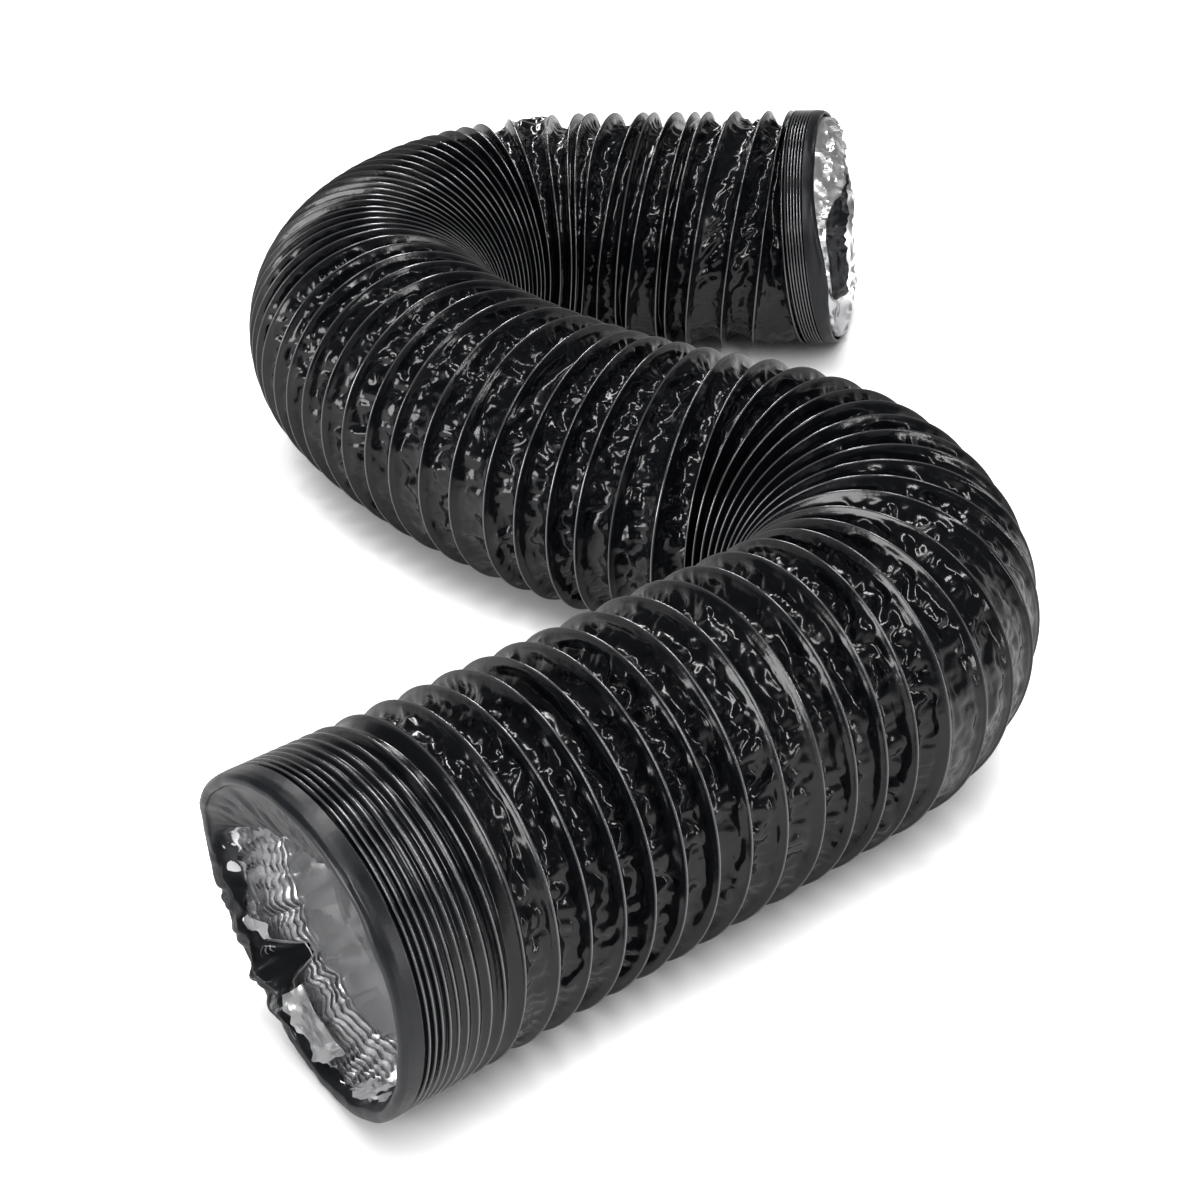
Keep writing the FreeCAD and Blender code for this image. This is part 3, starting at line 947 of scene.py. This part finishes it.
def skirt_form(angle, out):
    """Radius of the far skirt at distances from the last turn, drawn in towards its end."""
    drawn = np.interp(bearing(angle), (-180, -120, -75, -20, 20, 60, 100, 150, 180),
                      (12, 10, 8, 7, 9, 15, 20, 15, 12))
    share = np.clip((out - 6) / 26, 0, 1.3)
    u = CREST_MM * angle
    creased = 1 - 2 * np.abs(zigzag(u / 17, out / 14, 51))
    creased = 3.6 * creased + 1.3 * (1 - 2 * np.abs(zigzag(u / 7, out / 6, 52)))
    return SKIRT_RADIUS - drawn * share ** 1.3 + creased * smooth(0, 0.35, share) * apart(angle)


def skirt_end(angle, salt):
    """How far a torn sheet at the far mouth reaches, round the axis."""
    side = bearing(angle)
    reach = np.interp(side, (-180, -60, -25, -15, -4, 30, 60, 75, 86, 108, 130, 180),
                      (12, 10, 14, 27, 31, 32, 31, 26, 22, 17, 14, 12))
    return reach + torn(side, (1.5, 2.3), (1.8, 9), salt) * apart(angle)


def far_skirt_points(sizes):
    """Crushed foil that stands out of the far mouth."""
    angle = ring_angles(320)
    row = np.linspace(0, 1, 26)[:, None]
    out = SKIRT_START + row * (skirt_end(angle, 53) - SKIRT_START)
    return mouth_points(out, angle, skirt_form(angle, out), sizes, WIRE_STATIONS[-1])


def far_patch_points(sizes):
    """Torn film that clings to the lower part of the far skirt."""
    first, last = PATCH_ANGLES
    angle = np.radians(np.linspace(first, last, 130))[None, :]
    row = np.linspace(0, 1, 22)[:, None]
    share = (last - np.degrees(angle)) / (last - first)
    u = 104 * angle
    end = skirt_end(angle, 62) + 1.6
    start = PATCH_START + (end - PATCH_START) * smooth(0.5, 1.0, share)
    start = start + 1.2 * zigzag(u / 9, 0 * u, 61)
    out = start + row * (np.maximum(end, start + 2) - start)
    radius = skirt_form(angle, out) + 1.1 + 0.9 * np.abs(wave(u / 12, out / 9, 63))
    return mouth_points(out, angle, radius, sizes, WIRE_STATIONS[-1])


class DUCT_OT_near_mouth(bpy.types.Operator):
    """Turn the film in round the near mouth and lay torn foil over it"""
    bl_idname = "duct.near_mouth"
    bl_label = "Near mouth"

    def execute(self, context):
        sizes, colours = context.scene.duct_sizes, context.scene.duct_colours
        foil = finish_named("torn_foil", foil_material, colours, "torn_foil", 0.5)
        rim = sheet_object("film_near_rim", near_rim_points(sizes))
        finish_sheet(rim, mouth_film(colours))
        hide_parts("jacket_near_mouth")
        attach(rim, "near_end")
        for name, points in (("near_hem", near_hem_points(sizes)),
                             ("near_scrap_right", near_scrap_points(213, 254, sizes)),
                             ("near_scrap_left", near_scrap_points(272, 304, sizes))):
            scrap = sheet_object(f"foil_{name}", points)
            bpy.ops.object.shade_smooth_by_angle(angle=math.radians(8))
            finish_sheet(scrap, foil)
            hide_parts("liner_near_mouth")
            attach(scrap, "near_end")
        return {"FINISHED"}


class DUCT_OT_far_mouth(bpy.types.Operator):
    """Turn the film in round the far mouth and pull out its torn skirt"""
    bl_idname = "duct.far_mouth"
    bl_label = "Far mouth"

    def execute(self, context):
        sizes, colours = context.scene.duct_sizes, context.scene.duct_colours
        film = mouth_film(colours)
        foil = finish_named("bright_foil", foil_material, colours)
        rim = sheet_object("film_far_rim", far_rim_points(sizes))
        finish_sheet(rim, film)
        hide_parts("jacket_far_mouth")
        skirt = sheet_object("foil_far_skirt", far_skirt_points(sizes))
        bpy.ops.object.shade_smooth_by_angle(angle=math.radians(9))
        finish_sheet(skirt, foil)
        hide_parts("liner_far_mouth")
        patch = sheet_object("film_far_patch", far_patch_points(sizes))
        finish_sheet(patch, film)
        for piece in (rim, skirt, patch):
            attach(piece, "far_end")
        return {"FINISHED"}


# Stage: how far the floor's glow fades into a painted shadow round the duct, and how bright eye and
# gloss see it elsewhere
PAINTED_SHADOW_REACH = 0.042
FLOOR_BY_EYE = 0.85
FLOOR_BY_GLOSS = 0.1
# The room: its light on the duct, and what the gloss sees from the horizon up
AMBIENT = 0.3
HORIZON = {"From Min": 0.02, "From Max": 0.28, "To Min": 0.7, "To Max": 0.07}
# Lamps: name, place, what it is aimed at, its two sides and its power
DUCT_MIDDLE = (0, 0, 0.1)
LAMPS = (
    ("back_lamp", (-0.3, 1.9, 1.5), DUCT_MIDDLE, (0.22, 1.2), 16),
    ("top_lamp", (0.1, 0.4, 2.3), DUCT_MIDDLE, (0.22, 1.4), 17),
    ("front_lamp", (0.4, -1.4, 1.9), DUCT_MIDDLE, (0.22, 1.2), 15),
    ("right_lamp", (2.0, -1.6, 0.9), DUCT_MIDDLE, (0.15, 1.2), 8),
    ("mouth_lamp", (-1.6, -1.75, 0.75), (-0.15, -0.5, 0.1), (1.1, 1.1), 30),
)
# Camera: place, how far it looks down and its lens on a 36 mm frame
CAMERA_PLACE = (-0.001, -1.5154, 0.9363)
CAMERA_DOWN = 0.548
CAMERA_LENS = 71.24


class DUCT_OT_stage(bpy.types.Operator):
    """Set the floor, the lights and the camera"""
    bl_idname = "duct.stage"
    bl_label = "Stage"

    def execute(self, context):
        colours = context.scene.duct_colours
        add_floor(colours)
        add_lights(context.scene)
        add_camera(context.scene)
        return {"FINISHED"}


def add_floor(colours):
    """A wide pale floor that the camera and the gloss see white, except for its shadows and a
    painted shadow close round the duct, where ambient occlusion dims its glow.
    """
    bpy.ops.object.select_all(action="DESELECT")
    bpy.ops.mesh.primitive_plane_add(size=30, location=(0, 6, 0))
    floor = bpy.context.object
    floor.name = "floor"
    material, tree, shader = new_material("white_floor")
    shader.inputs["Base Color"].default_value = (*colours.floor, 1)
    shader.inputs["Roughness"].default_value = 0.7
    shader.inputs["Specular IOR Level"].default_value = 0.15
    shader.inputs["Emission Color"].default_value = (1, 1, 1, 1)
    # Painted shadow: the glow that the eye and the gloss see fades with ambient occlusion, so the
    # floor darkens close round the duct.
    near = add_node(tree, "ShaderNodeAmbientOcclusion", {"Distance": PAINTED_SHADOW_REACH})
    painted_shadow_falloff = add_node(tree, "ShaderNodeMath", {1: 2.0})
    painted_shadow_falloff.operation = "POWER"
    tree.links.new(near.outputs["AO"], painted_shadow_falloff.inputs[0])
    glow_dimmed_by_painted_shadow = add_node(tree, "ShaderNodeMath")
    glow_dimmed_by_painted_shadow.operation = "MULTIPLY"
    tree.links.new(painted_shadow_falloff.outputs["Value"], glow_dimmed_by_painted_shadow.inputs[0])
    tree.links.new(seen_share(tree, FLOOR_BY_EYE, FLOOR_BY_GLOSS), glow_dimmed_by_painted_shadow.inputs[1])
    tree.links.new(glow_dimmed_by_painted_shadow.outputs["Value"], shader.inputs["Emission Strength"])
    floor.data.materials.append(material)


def seen_share(tree, by_eye, by_gloss):
    """A value for the eye's rays, another for a shiny surface's rays and none for the rest."""
    path = add_node(tree, "ShaderNodeLightPath")
    total = None
    for name, share in (("Is Camera Ray", by_eye), ("Is Glossy Ray", by_gloss),
                        ("Is Transmission Ray", by_gloss)):
        adding = add_node(tree, "ShaderNodeMath", {1: share, 2: 0.0})
        adding.operation = "MULTIPLY_ADD"
        tree.links.new(path.outputs[name], adding.inputs[0])
        if total:
            tree.links.new(total, adding.inputs[2])
        total = adding.outputs["Value"]
    return total


def add_area(name, location, target, size, power):
    """A soft rectangular lamp aimed at a point."""
    data = bpy.data.lights.new(name, "AREA")
    data.shape = "RECTANGLE"
    data.size, data.size_y = size
    data.energy = power
    lamp = bpy.data.objects.new(name, data)
    bpy.context.scene.collection.objects.link(lamp)
    lamp.location = location
    aim = [t - p for t, p in zip(target, location)]
    across = math.hypot(aim[0], aim[1])
    lamp.rotation_euler = (math.atan2(across, -aim[2]), 0, math.atan2(aim[1], aim[0]) - math.pi / 2)


def add_lights(scene):
    """An arch of soft lamps from behind the duct to its right, in a room with a pale horizon."""
    world = bpy.data.worlds.new("studio")
    scene.world = world
    world.use_nodes = True
    tree = world.node_tree
    links = tree.links
    direction = add_node(tree, "ShaderNodeTexCoord")
    split = add_node(tree, "ShaderNodeSeparateXYZ")
    links.new(direction.outputs["Generated"], split.inputs["Vector"])
    horizon = ranged(tree, split.outputs["Z"], HORIZON)
    path = add_node(tree, "ShaderNodeLightPath")
    ambient = add_node(tree, "ShaderNodeMapRange", {"To Min": AMBIENT})
    links.new(path.outputs["Is Glossy Ray"], ambient.inputs["Value"])
    links.new(horizon, ambient.inputs["To Max"])
    seen = add_node(tree, "ShaderNodeMapRange", {"To Max": 1.0})
    links.new(path.outputs["Is Camera Ray"], seen.inputs["Value"])
    links.new(ambient.outputs["Result"], seen.inputs["To Min"])
    background = tree.nodes["Background"]
    background.inputs["Color"].default_value = (1, 1, 1, 1)
    links.new(seen.outputs["Result"], background.inputs["Strength"])
    for lamp in LAMPS:
        add_area(*lamp)


def add_camera(scene):
    """The photograph's camera: in front, above, looking down on the duct."""
    data = bpy.data.cameras.new("camera")
    camera = bpy.data.objects.new("camera", data)
    scene.collection.objects.link(camera)
    camera.location = CAMERA_PLACE
    camera.rotation_euler = (math.pi / 2 - CAMERA_DOWN, 0, 0)
    data.sensor_width = 36
    data.lens = CAMERA_LENS
    data.clip_end = 100
    scene.camera = camera
    scene.view_settings.view_transform = "Standard"


class DUCT_PT_panel(bpy.types.Panel):
    """Buttons for every part of the duct"""
    bl_label = "Flexible air duct"
    bl_space_type = "VIEW_3D"
    bl_region_type = "UI"
    bl_category = "Duct"

    def draw(self, context):
        for operator in OPERATORS:
            self.layout.operator(operator.bl_idname)


OPERATORS = (DUCT_OT_film, DUCT_OT_foil, DUCT_OT_wire, DUCT_OT_near_mouth, DUCT_OT_far_mouth,
             DUCT_OT_stage)
CLASSES = (DuctSizes, DuctColours, *OPERATORS, DUCT_PT_panel)


def register():
    """Register the classes and their properties."""
    for item in CLASSES:
        bpy.utils.register_class(item)
    bpy.types.Scene.duct_sizes = bpy.props.PointerProperty(type=DuctSizes)
    bpy.types.Scene.duct_colours = bpy.props.PointerProperty(type=DuctColours)


def unregister():
    """Remove the properties and the classes."""
    del bpy.types.Scene.duct_colours
    del bpy.types.Scene.duct_sizes
    for item in reversed(CLASSES):
        bpy.utils.unregister_class(item)


def main():
    """Build the duct and its stage."""
    register()
    bpy.ops.duct.film()
    bpy.ops.duct.foil()
    bpy.ops.duct.wire()
    bpy.ops.duct.near_mouth()
    bpy.ops.duct.far_mouth()
    bpy.ops.duct.stage()


if __name__ == "__main__":
    main()
